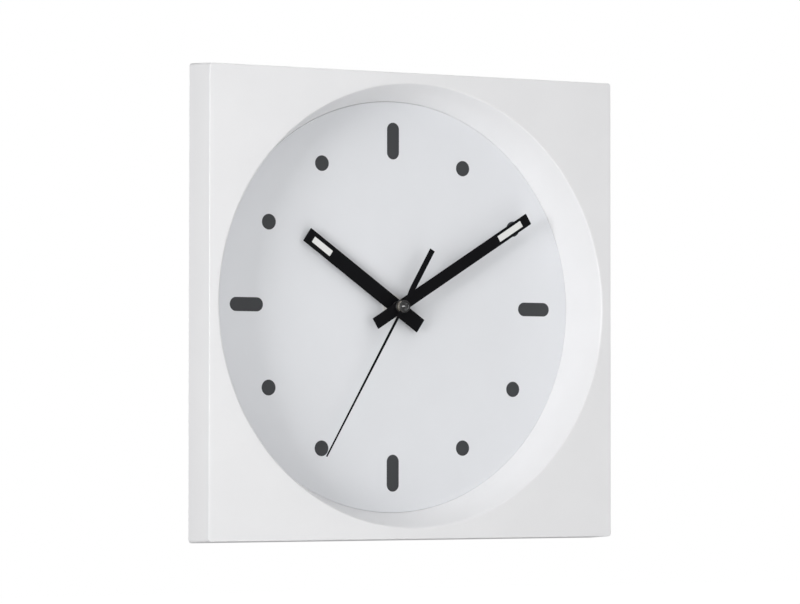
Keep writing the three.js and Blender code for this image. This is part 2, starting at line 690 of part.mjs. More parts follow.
function hourWheel() {
  const turn = meshingTurn(0, TEETH.minutePinion, TEETH.hourWheel, TO_MINUTE + Math.PI);
  const front = aboveDial(5.8) - MOVEMENT.front;
  const whole = joined(bar(2.4, front, 2.7), gear(TEETH.hourWheel, HOUR_MODULE, 1.9, 2.7, turn));
  return piece("hour_wheel", cut(whole, bar(1.5 + RUNNING_GAP, front - 1, 4)), ACETAL_WHITE);
}

// A knurled head with a screwdriver slot, on a stem whose pinion drives the minute wheel.
function settingKnob() {
  const turn = meshingTurn(MINUTE_WHEEL_TURN, TEETH.minuteWheel, TEETH.knobPinion, TO_KNOB);
  const [headFront, headBack] = [13.2, 15.7];
  const head = joined(gear(16, 0.6, headFront, headBack), bar(4.6, headFront, headBack));
  const whole = joined(
    arbor(PIVOT_FRONT, 3),
    bar(1.2, 1.9, headFront + 0.5),
    gear(TEETH.knobPinion, MINUTE_MODULE, 3, 4.2, turn),
    head,
  );
  const slot = block(span(3.6), [headBack - 1, headBack + 1], span(0.6));
  return at(KNOB, piece("setting_knob", cut(whole, slot), ACETAL_WHITE));
}

// ---- Movement: step motor ---------------------------------------------------------------------------

const COIL = { x: -22.8, depth: 8.3, low: -4.6, high: 13.6 };

// A turned ring about the coil's upright axis, from [radius, height] points.
function coilTurned(profile) {
  const points = [...profile, profile[0]].map(([radius, height]) => new THREE.Vector2(radius, height));
  const geometry = new THREE.LatheGeometry(points, SMALL_SIDES);
  geometry.rotateX(Math.PI / 2);
  geometry.translate(COIL.x, COIL.depth, 0);
  return solid(geometry);
}

function stator() {
  const depths = [6.4, 7.4];
  const bars = joined(
    block([-19, -10.4], depths, [-9, 18]),
    block([-25, -12], depths, [15, 18]),
    block([-25, -12], depths, [-9, -6.2]),
  );
  return piece("stator", cut(bars, bar(3.6, 5, 9, ROTOR)), STEEL);
}

function coilCore() {
  const half = 1.2;
  return piece("coil_core", block([COIL.x - half, COIL.x + half], [7.7, 8.9], [-9, 18]), STEEL);
}

function coilBobbin() {
  const { low, high, x, depth } = COIL;
  const spool = coilTurned([
    [0, low - 1], [3.4, low - 1], [3.4, low], [2.2, low], [2.2, high], [3.4, high], [3.4, high + 1],
    [0, high + 1],
  ]);
  const channel = block([x - 1.5, x + 1.5], [depth - 0.9, depth + 0.9], [low - 2, high + 2]);
  return piece("coil_bobbin", cut(spool, channel), ACETAL_WHITE);
}

function coilWinding() {
  const { low, high } = COIL;
  const [inner, outer] = [2.2 + GAP, 3.2];
  const profile = [[inner, low + GAP], [outer, low + GAP], [outer, high - GAP], [inner, high - GAP]];
  return piece("coil_winding", coilTurned(profile), COPPER);
}

// ---- Movement: circuit and battery ------------------------------------------------------------------

function circuitBoard() {
  return piece("circuit_board", block([-9, 25.4], [3, 4], [17.5, 26.2]), BOARD_BROWN);
}

// A small can that lies on the board.
function quartzCrystal() {
  const radius = 1.5;
  const geometry = new THREE.CylinderGeometry(radius, radius, 7, SMALL_SIDES);
  geometry.rotateZ(Math.PI / 2);
  geometry.translate(15, 4 + GAP + radius, 22.5);
  return piece("quartz_crystal", solid(geometry), STEEL);
}

function circuitChip() {
  const blob = turned([[0, 4 + GAP], [3, 4 + GAP], [2.7, 5], [1.6, 5.5], [0, 5.7]]);
  return at({ x: 1, z: 22 }, piece("circuit_chip", blob, CHIP_BLACK));
}

function battery() {
  const { radius, left, right, nubRadius, nubEnd, height, depth } = BATTERY;
  const lying = (barRadius, from, to) => {
    const geometry = new THREE.CylinderGeometry(barRadius, barRadius, to - from, 32);
    geometry.rotateZ(Math.PI / 2);
    geometry.translate((from + to) / 2, depth, height);
    return solid(geometry);
  };
  return piece("battery", joined(lying(radius, left, right), lying(nubRadius, right - 1, nubEnd)), BATTERY_SLEEVE);
}

const CONTACT = { outer: 26.5, thickness: 0.4, plateHalf: 5, stripDepths: [4.3, 5.9], top: 20 };

// The plate against one end of the cell and the strip that runs from it up to the board.
function contactPlate(side, footEnd) {
  const { outer, thickness, plateHalf, stripDepths, top } = CONTACT;
  const x = [side * outer, side * (outer - thickness)].sort((a, b) => a - b);
  const { height, depth } = BATTERY;
  const footX = [side * outer, footEnd].sort((a, b) => a - b);
  return joined(
    block(x, [depth - plateHalf, depth + plateHalf], [height - plateHalf, height + plateHalf]),
    block(x, stripDepths, [height, top]),
    block(footX, [stripDepths[0], stripDepths[0] + thickness], [top - 1.6, top]),
  );
}

// A conical spring: radius and place change evenly over its turns.
class ConicalHelix extends THREE.Curve {
  getPoint(t) {
    const radius = 4.6 - 2 * t;
    const angle = 2 * Math.PI * 2.5 * t;
    const x = -CONTACT.outer + 0.3 + 1.55 * t;
    return new THREE.Vector3(x, BATTERY.depth + radius * Math.cos(angle), BATTERY.height + radius * Math.sin(angle));
  }
}

function contactSpring() {
  const wire = new THREE.Shape();
  wire.absarc(0, 0, 0.25, 0, 2 * Math.PI);
  const settings = { steps: 50, curveSegments: 3, bevelEnabled: false, extrudePath: new ConicalHelix() };
  return solid(new THREE.ExtrudeGeometry(wire, settings));
}

// ---- Assembly ---------------------------------------------------------------------------------------

function movement() {
  const group = new THREE.Group();
  group.position.y = MOVEMENT.front;
  group.add(
    movementCase(), trainBridge(), movementCover(),
    rotor(), intermediateWheel(), secondWheel(), thirdWheel(), centreWheel(),
    minutePipe(), minuteWheel(), hourWheel(), settingKnob(),
    stator(), coilCore(), coilBobbin(), coilWinding(),
    circuitBoard(), quartzCrystal(), circuitChip(), battery(),
    piece("positive_contact", contactPlate(1, 23.5), STEEL),
    piece("negative_contact", joined(contactPlate(-1, -8), contactSpring()), STEEL),
  );
  return group;
}

const clock = new THREE.Group();
clock.position.set(0, -TOTAL_DEPTH, -NAIL_ABOVE_SHAFT);
clock.add(
  caseShell(), dial(), backPlate(),
  ...CORNERS.map((corner, i) => backPlateScrew(`back_plate_screw_${i + 1}`, corner)),
  wallBumper("wall_bumper_left", -1), wallBumper("wall_bumper_right", 1),
  gasket(), dialWasher(), shaftNut(),
  hourHand(), minuteHand(), secondHand(),
  movement(),
);

export default clock;
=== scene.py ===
"""Looks of a square wall clock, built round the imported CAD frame.

Lengths inside the classes are millimetres in the clock's own axes: x to the right and z up from the
hands' axis, and depth back from the front face. ClockAxes turns them into the frame's metres.
"""

import json
import logging
from dataclasses import dataclass, field
from enum import Enum
from typing import Any, Iterable, Sequence

import bmesh
import bpy
import numpy as np
from mathutils import Matrix, Vector
from mathutils.geometry import tessellate_polygon

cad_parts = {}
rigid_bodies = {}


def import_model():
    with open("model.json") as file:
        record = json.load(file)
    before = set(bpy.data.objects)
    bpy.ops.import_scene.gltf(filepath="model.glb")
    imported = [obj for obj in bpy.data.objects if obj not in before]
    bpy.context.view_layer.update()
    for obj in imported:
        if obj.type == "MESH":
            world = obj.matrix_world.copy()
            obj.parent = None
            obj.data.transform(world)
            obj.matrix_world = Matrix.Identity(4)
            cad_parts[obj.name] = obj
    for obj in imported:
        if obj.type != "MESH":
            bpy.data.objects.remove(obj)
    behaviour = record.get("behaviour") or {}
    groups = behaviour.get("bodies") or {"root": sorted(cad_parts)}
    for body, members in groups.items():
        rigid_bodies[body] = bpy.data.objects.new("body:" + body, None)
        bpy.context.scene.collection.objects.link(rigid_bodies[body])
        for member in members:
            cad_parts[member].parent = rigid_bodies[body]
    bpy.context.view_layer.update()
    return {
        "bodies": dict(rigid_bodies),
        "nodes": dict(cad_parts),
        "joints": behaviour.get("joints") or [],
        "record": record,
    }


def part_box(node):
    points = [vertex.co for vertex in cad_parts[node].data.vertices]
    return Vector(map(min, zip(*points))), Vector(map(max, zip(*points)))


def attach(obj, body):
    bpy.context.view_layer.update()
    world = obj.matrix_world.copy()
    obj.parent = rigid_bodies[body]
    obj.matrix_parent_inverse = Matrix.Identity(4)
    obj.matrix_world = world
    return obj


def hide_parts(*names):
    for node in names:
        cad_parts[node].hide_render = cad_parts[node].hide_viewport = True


logging.basicConfig(level=logging.INFO, format="%(message)s")
log = logging.getLogger("clock")

MM = 0.001
DIAL_FRONT = 29.3  # depth of the dial's face behind the case's front, mm
SHAFT_HOLE = 3.9  # radius of every hole round the movement's bushing, mm
POST_OFFSET = 107.0  # screw posts, left, right, above and below the shaft, mm
SHARP = 38.0  # degrees: edges that turn more than this stay sharp
Triple = tuple[float, float, float]
Colour = Triple
Loop = np.ndarray  # (points, 2)


# ---- Shader maths ----


class Signal:
    """One output socket. Arithmetic on it adds Math nodes to its tree."""

    def __init__(self, recipe: "Recipe", socket: bpy.types.NodeSocket) -> None:
        """Keep the socket and the recipe that it belongs to."""
        self.recipe = recipe
        self.socket = socket

    def maths(self, operation: str, *others: Any) -> "Signal":
        """Add one Math node.

        Args:
            operation: the Math node's operation.
            others: the second and third operands, numbers or signals.

        Returns:
            The node's result.
        """
        return self.recipe.node("ShaderNodeMath", {"operation": operation}, dict(enumerate((self, *others))))

    def __add__(self, other: Any) -> "Signal":
        """Sum."""
        return self.maths("ADD", other)

    __radd__ = __add__

    def __mul__(self, other: Any) -> "Signal":
        """Product."""
        return self.maths("MULTIPLY", other)

    __rmul__ = __mul__

    def band(self, low: float, high: float) -> "Signal":
        """0 below low and 1 above high, rising smoothly between them."""
        return self.recipe.node(
            "ShaderNodeMapRange",
            {"interpolation_type": "SMOOTHSTEP", "clamp": True},
            {"Value": self, "From Min": low, "From Max": high},
            "Result",
        )


class Recipe:
    """The node tree of one finish, ending in one Principled shader."""

    def __init__(self, name: str) -> None:
        """Make the material and its shader."""
        self.material = bpy.data.materials.new(name)
        self.material.use_nodes = True
        self.tree = self.material.node_tree
        self.tree.nodes.clear()
        self.shader = self.tree.nodes.new("ShaderNodeBsdfPrincipled")
        output = self.tree.nodes.new("ShaderNodeOutputMaterial")
        self.tree.links.new(self.shader.outputs[0], output.inputs["Surface"])

    def node(self, kind: str, settings: dict | None = None, inputs: dict | None = None, output: Any = 0) -> Signal:
        """Add one node.

        Args:
            kind: the node's type.
            settings: attributes to set first.
            inputs: a value or a Signal for each input, by name or number.
            output: the output to return, by name or number.

        Returns:
            That output as a Signal.
        """
        node = self.tree.nodes.new(kind)
        for key, value in (settings or {}).items():
            setattr(node, key, value)
        self.feed(node, inputs or {})
        return Signal(self, node.outputs[output])

    def feed(self, node: bpy.types.Node, inputs: dict) -> None:
        """Give a node's inputs their values or links."""
        for key, value in inputs.items():
            if isinstance(value, Signal):
                self.tree.links.new(value.socket, node.inputs[key])
            else:
                node.inputs[key].default_value = value

    def place(self) -> Signal:
        """Object coordinates, which are the frame's metres."""
        return self.node("ShaderNodeTexCoord", output="Object")

    def axes(self) -> tuple[Signal, Signal, Signal]:
        """The three object coordinates as separate signals."""
        split = self.node("ShaderNodeSeparateXYZ", None, {0: self.place()})
        outputs = split.socket.node.outputs
        return Signal(self, outputs[0]), Signal(self, outputs[1]), Signal(self, outputs[2])

    def noise(
        self, size: float, detail: float = 3.0, stretch: Triple = (1.0, 1.0, 1.0), roughness: float = 0.55,
    ) -> Signal:
        """Noise from 0 to 1.

        Args:
            size: the width of one cell, in millimetres.
            detail: octaves.
            stretch: how much denser the pattern is along each axis.
            roughness: how strong the fine octaves are.

        Returns:
            The noise value.
        """
        place = self.node("ShaderNodeMapping", None, {"Vector": self.place(), "Scale": stretch}, "Vector")
        inputs = {"Vector": place, "Scale": 1.0 / (size * MM), "Detail": detail, "Roughness": roughness}
        return self.node("ShaderNodeTexNoise", {"normalize": True}, inputs, "Fac")

    def mix(self, share: Signal, first: Any, second: Any) -> Signal:
        """Colour that goes from first to second as share goes from 0 to 1."""
        ends = [(*c, 1.0) if isinstance(c, tuple) else c for c in (first, second)]
        return self.node("ShaderNodeMix", {"data_type": "RGBA"}, {0: share, 6: ends[0], 7: ends[1]}, 2)

    def bump(self, height: Signal, depth: float) -> Signal:
        """Normal from a height signal whose full range is depth millimetres."""
        return self.node("ShaderNodeBump", None, {"Height": height, "Strength": 1.0, "Distance": depth * MM}, "Normal")

    def finish(self, **inputs: Any) -> bpy.types.Material:
        """Give the shader its inputs and return the material. Underscores in names stand for spaces."""
        self.feed(self.shader, {key.replace("_", " "): value for key, value in inputs.items()})
        return self.material


# ---- Finishes ----


def tinted(colour: Colour, factor: float) -> Colour:
    """The colour with each channel multiplied."""
    return tuple(min(channel * factor, 1.0) for channel in colour)


@dataclass(frozen=True)
class Moulding:
    """Moulded plastic: a fine tool texture, slow sink waves and a faint drift of tone."""

    slot: str
    colour: Colour
    roughness: float = 0.35
    grain: float = 0.35
    grain_depth: float = 0.004
    wave_depth: float = 0.02
    drift: float = 0.012
    specular: float = 0.5

    def make(self, name: str) -> bpy.types.Material:
        """Build the material."""
        recipe = Recipe(name)
        grain = recipe.noise(self.grain, 2.0)
        wave = recipe.noise(38.0, 1.0)
        cloud = recipe.noise(60.0, 3.0)
        darker, lighter = (tinted(self.colour, 1.0 + side * self.drift) for side in (-1, 1))
        colour = recipe.mix(cloud.band(0.3, 0.7), darker, lighter)
        roughness = self.roughness - 0.04 + 0.08 * (grain * 0.6 + cloud * 0.4)
        height = grain * self.grain_depth + wave * self.wave_depth
        return recipe.finish(
            Base_Color=colour, Roughness=roughness, Normal=recipe.bump(height, 1.0), Specular_IOR_Level=self.specular)


@dataclass(frozen=True)
class CoatedSheet:
    """A sheet with a matt printed coat: a fine even tooth and hardly any gloss."""

    slot: str
    colour: Colour
    roughness: float = 0.6
    tooth: float = 0.22
    tooth_depth: float = 0.003

    def make(self, name: str) -> bpy.types.Material:
        """Build the material."""
        recipe = Recipe(name)
        tooth = recipe.noise(self.tooth, 3.0, roughness=0.7)
        patch = recipe.noise(45.0, 2.0)
        colour = recipe.mix(patch.band(0.25, 0.75), tinted(self.colour, 0.99), tinted(self.colour, 1.008))
        roughness = self.roughness - 0.05 + 0.1 * tooth
        return recipe.finish(
            Base_Color=colour, Roughness=roughness, Specular_IOR_Level=0.35,
            Normal=recipe.bump(tooth, self.tooth_depth))


@dataclass(frozen=True)
class Ink:
    """Screen-printed ink: even tone with fine specks where the mesh of the screen shows."""

    slot: str
    colour: Colour
    roughness: float = 0.5

    def make(self, name: str) -> bpy.types.Material:
        """Build the material."""
        recipe = Recipe(name)
        speck = recipe.noise(0.3, 2.0)
        cloud = recipe.noise(9.0, 2.0)
        colour = recipe.mix(speck.band(0.25, 0.8), tinted(self.colour, 0.9), tinted(self.colour, 1.12))
        roughness = self.roughness - 0.06 + 0.12 * (speck * 0.5 + cloud * 0.5)
        return recipe.finish(
            Base_Color=colour, Roughness=roughness, Normal=recipe.bump(speck, 0.004), Specular_IOR_Level=0.4)


@dataclass(frozen=True)
class Lacquer:
    """Black lacquer on stamped aluminium: slight orange peel and a little dust."""

    slot: str
    colour: Colour
    roughness: float = 0.42
    specular: float = 0.5

    def make(self, name: str) -> bpy.types.Material:
        """Build the material."""
        recipe = Recipe(name)
        peel = recipe.noise(0.9, 2.0)
        dust = recipe.noise(0.16, 1.0).band(0.72, 0.82)
        cloud = recipe.noise(14.0, 2.0)
        coat = recipe.mix(cloud, tinted(self.colour, 0.8), tinted(self.colour, 1.3))
        colour = recipe.mix(dust * 0.25, coat, (0.09, 0.09, 0.09))
        roughness = self.roughness - 0.05 + 0.1 * cloud + 0.15 * dust
        return recipe.finish(
            Base_Color=colour, Roughness=roughness, Normal=recipe.bump(peel, 0.006), Specular_IOR_Level=self.specular)


@dataclass(frozen=True)
class Metal:
    """Worked metal: fine tool lines along one axis, and a film that varies from place to place."""

    slot: str
    colour: Colour
    roughness: float = 0.3
    lines: Triple = (1.0, 9.0, 1.0)
    tarnish: Colour | None = None

    def make(self, name: str) -> bpy.types.Material:
        """Build the material."""
        recipe = Recipe(name)
        line = recipe.noise(0.5, 3.0, self.lines)
        film = recipe.noise(3.5, 4.0).band(0.35, 0.75)
        dull = self.tarnish or tinted(self.colour, 0.72)
        colour = recipe.mix(film * 0.6, self.colour, dull)
        roughness = self.roughness - 0.05 + 0.12 * line + 0.1 * film
        return recipe.finish(
            Base_Color=colour, Metallic=1.0, Roughness=roughness, Normal=recipe.bump(line, 0.006))


@dataclass(frozen=True)
class Winding:
    """Enamelled wire wound in even turns along the upright axis, with painted shade in the grooves between turns and a
    painted highlight on their crowns.
    """

    slot: str
    colour: Colour
    wire: float = 0.18

    def make(self, name: str) -> bpy.types.Material:
        """Build the material. The height is |sin| of the distance along the coil, one hump for each wire."""
        recipe = Recipe(name)
        _, _, up = recipe.axes()
        turn = (up * (np.pi / (self.wire * MM))).maths("SINE").maths("ABSOLUTE")
        drift = recipe.noise(1.6, 3.0)
        # painted shade and highlight: the colour darkens in the grooves between wires and lightens on their crowns,
        # following the same hump as the bump
        colour = recipe.mix(turn * 0.7 + drift * 0.3, tinted(self.colour, 0.35), tinted(self.colour, 1.15))
        return recipe.finish(
            Base_Color=colour, Metallic=0.85, Roughness=0.28 + 0.2 * drift, Normal=recipe.bump(turn, 0.05))


@dataclass(frozen=True)
class Laminate:
    """Phenolic board: long paper fibres under a resin skin."""

    slot: str
    colour: Colour

    def make(self, name: str) -> bpy.types.Material:
        """Build the material."""
        recipe = Recipe(name)
        fibre = recipe.noise(0.7, 5.0, (1.0, 1.0, 0.12))
        colour = recipe.mix(fibre, tinted(self.colour, 0.7), tinted(self.colour, 1.25))
        return recipe.finish(Base_Color=colour, Roughness=0.4 + 0.2 * fibre, Normal=recipe.bump(fibre, 0.01))


@dataclass(frozen=True)
class PaperSleeve:
    """A cell's plain shrunk sleeve with a pale band at its positive end."""

    slot: str
    colour: Colour
    band: Colour
    band_from: float

    def make(self, name: str) -> bpy.types.Material:
        """Build the material. The band starts where x passes band_from millimetres."""
        recipe = Recipe(name)
        across, _, _ = recipe.axes()
        edge = across.band((self.band_from - 0.05) * MM, (self.band_from + 0.05) * MM)
        ripple = recipe.noise(2.2, 2.0)
        colour = recipe.mix(edge, recipe.mix(ripple, tinted(self.colour, 0.9), tinted(self.colour, 1.1)), self.band)
        return recipe.finish(
            Base_Color=colour, Roughness=0.24 + 0.12 * ripple, Normal=recipe.bump(ripple, 0.02), Coat_Weight=0.3)


class Finishes(Enum):
    """Every finish on the clock."""

    CASE = Moulding("white_abs", (0.838, 0.838, 0.848), roughness=0.3)
    BACK = Moulding("white_abs", (0.80, 0.80, 0.795), roughness=0.45, grain=0.5, grain_depth=0.01)
    DIAL = CoatedSheet("dial_white", (0.776, 0.789, 0.815))
    INK = Ink("dial_white", (0.044, 0.046, 0.050))
    HAND = Lacquer("hand_black", (0.004, 0.004, 0.005), roughness=0.5, specular=0.08)
    BUSH = Lacquer("hand_black", (0.006, 0.006, 0.006), roughness=0.26, specular=1.0)
    COLLAR = Metal("hand_black", (0.9, 0.84, 0.75), roughness=0.42, lines=(1.0, 6.0, 1.0), tarnish=(0.72, 0.65, 0.55))
    INLAY = CoatedSheet("inlay_white", (0.80, 0.80, 0.785), roughness=0.5)
    WASHER = Moulding("acetal_white", (0.78, 0.775, 0.76), roughness=0.4)
    ACETAL = Moulding("acetal_white", (0.76, 0.74, 0.68), roughness=0.4, wave_depth=0.004)
    BRASS = Metal("brass", (0.72, 0.54, 0.27), tarnish=(0.45, 0.3, 0.12))
    STEEL = Metal("steel", (0.62, 0.63, 0.65))
    MAGNET = Metal("magnet_grey", (0.2, 0.2, 0.21), roughness=0.5)
    COPPER = Winding("copper", (0.6, 0.25, 0.1))
    MOVEMENT = Moulding(
        "movement_black", (0.022, 0.023, 0.024), roughness=0.5, grain=0.4, grain_depth=0.02, wave_depth=0.006,
        drift=0.08)
    RUBBER = Moulding(
        "rubber", (0.028, 0.028, 0.028), roughness=0.78, grain=0.25, grain_depth=0.02, wave_depth=0.002, drift=0.12,
        specular=0.3)
    BOARD = Laminate("board_brown", (0.23, 0.13, 0.05))
    CHIP = Moulding("chip_black", (0.009, 0.009, 0.009), roughness=0.2, grain=0.9, grain_depth=0.004, drift=0.1)
    SLEEVE = PaperSleeve("battery_sleeve", (0.07, 0.14, 0.21), (0.62, 0.62, 0.6), 15.0)

    def material(self) -> bpy.types.Material:
        """The finish's material, made the first time that it is asked for."""
        name = self.name.lower()
        return bpy.data.materials.get(name) or self.value.make(name)


# ---- Shapes ----


@dataclass(frozen=True)
class ClockAxes:
    """Where the clock's own axes lie in the frame, in millimetres."""

    shaft_x: float
    shaft_z: float
    front: float

    def metres(self, points: np.ndarray) -> np.ndarray:
        """(x, depth, z) rows in millimetres as frame points in metres."""
        return (points + np.array([self.shaft_x, self.front, self.shaft_z])) * MM


@dataclass
class Surface:
    """Points in clock axes, and the faces between them."""

    points: np.ndarray
    faces: list[np.ndarray]

    def turned(self, degrees: float) -> "Surface":
        """The surface turned clockwise, as seen from the front, about the hands' axis.

        x' = x cos a + z sin a and z' = z cos a - x sin a.
        """
        cosine, sine = np.cos(np.radians(degrees)), np.sin(np.radians(degrees))
        x, depth, z = self.points.T
        return Surface(np.column_stack([x * cosine + z * sine, depth, z * cosine - x * sine]), self.faces)


def joined(*surfaces: Surface) -> Surface:
    """Several surfaces as one, each a closed body of its own."""
    starts = np.cumsum([0] + [len(surface.points) for surface in surfaces])
    points = np.concatenate([surface.points for surface in surfaces])
    return Surface(points, [faces + start for surface, start in zip(surfaces, starts) for faces in surface.faces])


def woven(rings: np.ndarray, closes: bool) -> Surface:
    """Quads over a grid of rings that are closed along their own length.

    Args:
        rings: (rings, columns, 3) points.
        closes: whether the last ring joins the first.

    Returns:
        The grid's surface: corner (i, j) joins (i, j+1), (i+1, j+1) and (i+1, j).
    """
    rows, columns = rings.shape[:2]
    row = np.arange(rows if closes else rows - 1)[:, None]
    column = np.arange(columns)[None, :]
    after, beside = (row + 1) % rows, (column + 1) % columns
    quads = np.stack([
        row * columns + column, row * columns + beside, after * columns + beside, after * columns + column,
    ], -1)
    return Surface(rings.reshape(-1, 3), [quads.reshape(-1, 4)])


def filleted(corners: Sequence[Sequence[float]], closed: bool, steps: int = 5) -> Loop:
    """A line of corners, each rounded over its own reach.

    Args:
        corners: (a, b, reach) rows; reach is how far from the corner the rounding starts, 0 for none.
        closed: whether the line closes on itself.
        steps: points in each rounding.

    Returns:
        The points. A rounding is the curve (1-s)^2 P + 2s(1-s) C + s^2 Q, from P through the pull of corner C to Q.
    """
    table = np.array(corners, float)
    place, reach = table[:, :2], table[:, 2:]
    before, after = np.roll(place, 1, 0) - place, np.roll(place, -1, 0) - place
    if not closed:
        before[0], after[-1] = 0.0, 0.0
    start = place + reach * before / np.maximum(np.linalg.norm(before, axis=1, keepdims=True), 1e-9)
    end = place + reach * after / np.maximum(np.linalg.norm(after, axis=1, keepdims=True), 1e-9)
    s = np.linspace(0.0, 1.0, steps)[None, :, None]
    curve = (1 - s) ** 2 * start[:, None] + 2 * s * (1 - s) * place[:, None] + s**2 * end[:, None]
    keep = np.ones(curve.shape[:2], bool)
    keep[reach[:, 0] == 0.0, 1:] = False
    return curve[keep]


def revolved(profile: Loop, centre: tuple[float, float] = (0.0, 0.0), sides: int = 64, closes: bool = True) -> Surface:
    """A profile of (radius, depth) points carried round an axis that runs back through centre (x, z).

    x = cx + r cos t and z = cz + r sin t. Points at radius 0 meet in one pole when the mesh is made.
    """
    angle = np.linspace(0.0, 2 * np.pi, sides, endpoint=False)[None, :]
    radius, depth = profile[:, :1], profile[:, 1:]
    x = centre[0] + radius * np.cos(angle)
    z = centre[1] + radius * np.sin(angle)
    return woven(np.stack([x, np.broadcast_to(depth, x.shape), z], -1), closes)


def mitres(loop: Loop) -> np.ndarray:
    """How far each corner of a closed loop moves for an inset of 1 to its left: (n1 + n2) / (1 + n1.n2)."""
    edge = np.roll(loop, -1, 0) - loop
    edge = edge / np.linalg.norm(edge, axis=1, keepdims=True)
    after = np.column_stack([-edge[:, 1], edge[:, 0]])
    before = np.roll(after, 1, 0)
    return (before + after) / (1.0 + (before * after).sum(1, keepdims=True))


def stamped(loops: Iterable[Loop], front: float, back: float, edge: float, steps: int = 4) -> Surface:
    """A flat plate with rounded edges, cut to outlines.

    Args:
        loops: (x, z) loops with the material on their left: the outline runs anticlockwise, holes clockwise.
        front: depth of the front face.
        back: depth of the back face.
        edge: radius of the edges' rounding.
        steps: bands in each rounding.

    Returns:
        The plate. Each loop is carried along a quarter circle at each face, inset = e(1 - cos t) and
        depth = e(1 - sin t), with one more ring inside it so that the flat face shades flat.
    """
    quarter = np.linspace(0.0, np.pi / 2, steps + 1)
    inset = np.concatenate([[2 * edge], edge * (1 - np.sin(quarter)), edge * (1 - np.cos(quarter)), [2 * edge]])
    depth = np.concatenate([[front], front + edge * (1 - np.cos(quarter)), back - edge * (1 - np.sin(quarter)), [back]])
    walls, caps = [], []
    for loop in loops:
        plan = loop[None] + inset[:, None, None] * mitres(loop)[None]
        rows = np.broadcast_to(depth[:, None], plan.shape[:2])
        walls.append(woven(np.stack([plan[..., 0], rows, plan[..., 1]], -1), False))
        caps.append(plan[0])
    body = joined(*walls)
    triangles = np.array(tessellate_polygon([[Vector((x, z, 0.0)) for x, z in cap] for cap in caps]))
    counts = np.array([len(cap) for cap in caps])
    starts = np.cumsum([0] + [len(wall.points) for wall in walls])[:-1]
    rings = len(inset)
    ahead = np.concatenate([start + np.arange(count) for start, count in zip(starts, counts)])
    behind = np.concatenate([start + (rings - 1) * count + np.arange(count) for start, count in zip(starts, counts)])
    return Surface(body.points, body.faces + [ahead[triangles], behind[triangles]])


def rectangle(x: tuple[float, float], z: tuple[float, float], reach: float, steps: int = 5) -> Loop:
    """An anticlockwise rectangle with rounded corners."""
    return filleted([(x[0], z[0], reach), (x[1], z[0], reach), (x[1], z[1], reach), (x[0], z[1], reach)], True, steps)


def circle(radius: float, centre: tuple[float, float] = (0.0, 0.0), sides: int = 64) -> Loop:
    """An anticlockwise circle."""
    angle = np.linspace(0.0, 2 * np.pi, sides, endpoint=False)
    return np.column_stack([centre[0] + radius * np.cos(angle), centre[1] + radius * np.sin(angle)])


# ---- Workshop: meshes into pieces ----


@dataclass
class Workshop:
    """Turns surfaces into pieces that ride on the frame's bodies."""

    axes: ClockAxes
    nodes: dict[str, bpy.types.Object]
    bodies: dict[str, str]
    made: int = 0

    def piece(
        self, name: str, surface: Surface, finish: Finishes, body: str, *nodes: str, sharp: float = SHARP,
    ) -> bpy.types.Object:
        """Make one piece.

        Args:
            name: the piece's name.
            surface: its surface, in clock axes.
            finish: its finish.
            body: the body that it rides on.
            nodes: the CAD nodes that it stands for.
            sharp: edges that turn more than this many degrees stay sharp.

        Returns:
            The piece's object.
        """
        mesh = bpy.data.meshes.new(name)
        faces = [face for block in surface.faces for face in block.tolist()]
        mesh.from_pydata(self.axes.metres(surface.points).tolist(), [], faces)
        work = bmesh.new()
        work.from_mesh(mesh)
        bmesh.ops.remove_doubles(work, verts=work.verts, dist=1e-7)
        bmesh.ops.recalc_face_normals(work, faces=work.faces)
        work.to_mesh(mesh)
        work.free()
        return self.dress(mesh, name, finish, body, nodes, sharp)

    def softened(self, name: str, finish: Finishes, edge: float = 0.12, sharp: float = SHARP) -> bpy.types.Object:
        """Make a piece from a CAD node's own shape, with its edges rounded.

        Args:
            name: the CAD node.
            finish: the piece's finish.
            edge: width of the edges' rounding, in millimetres.
            sharp: edges that turn more than this many degrees are rounded.

        Returns:
            The piece's object, whose name is the node's with "_part" added.
        """
        mesh = self.nodes[name].data.copy()
        work = bmesh.new()
        work.from_mesh(mesh)
        bmesh.ops.remove_doubles(work, verts=work.verts, dist=2e-6)
        bmesh.ops.dissolve_limit(work, angle_limit=np.radians(0.6), verts=work.verts, edges=work.edges)
        work.to_mesh(mesh)
        work.free()
        thing = self.dress(mesh, name + "_part", finish, self.bodies[name], (name,), sharp)
        bevel = thing.modifiers.new("edges", "BEVEL")
        bevel.width = edge * MM
        bevel.segments = 2
        bevel.limit_method = "ANGLE"
        bevel.angle_limit = np.radians(sharp)
        bevel.use_clamp_overlap = True
        weighted = thing.modifiers.new("shading", "WEIGHTED_NORMAL")
        weighted.keep_sharp = False
        return thing

    def dress(
        self, mesh: bpy.types.Mesh, name: str, finish: Finishes, body: str, nodes: Sequence[str], sharp: float,
    ) -> bpy.types.Object:
        """Shade the mesh, give it its finish and put it on its body. The arguments are those of piece.

        Returns:
            The piece's object.
        """
        mesh.name = name
        mesh.shade_smooth()
        mesh.set_sharp_from_angle(angle=np.radians(sharp))
        mesh.materials.clear()
        mesh.materials.append(finish.material())
        thing = bpy.data.objects.new(name, mesh)
        bpy.context.scene.collection.objects.link(thing)
        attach(thing, body)
        if nodes:
            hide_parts(*nodes)
        self.made += 1
        log.info("%s: %d faces on %s", name, len(mesh.polygons), body)
        return thing


# ---- The case ----


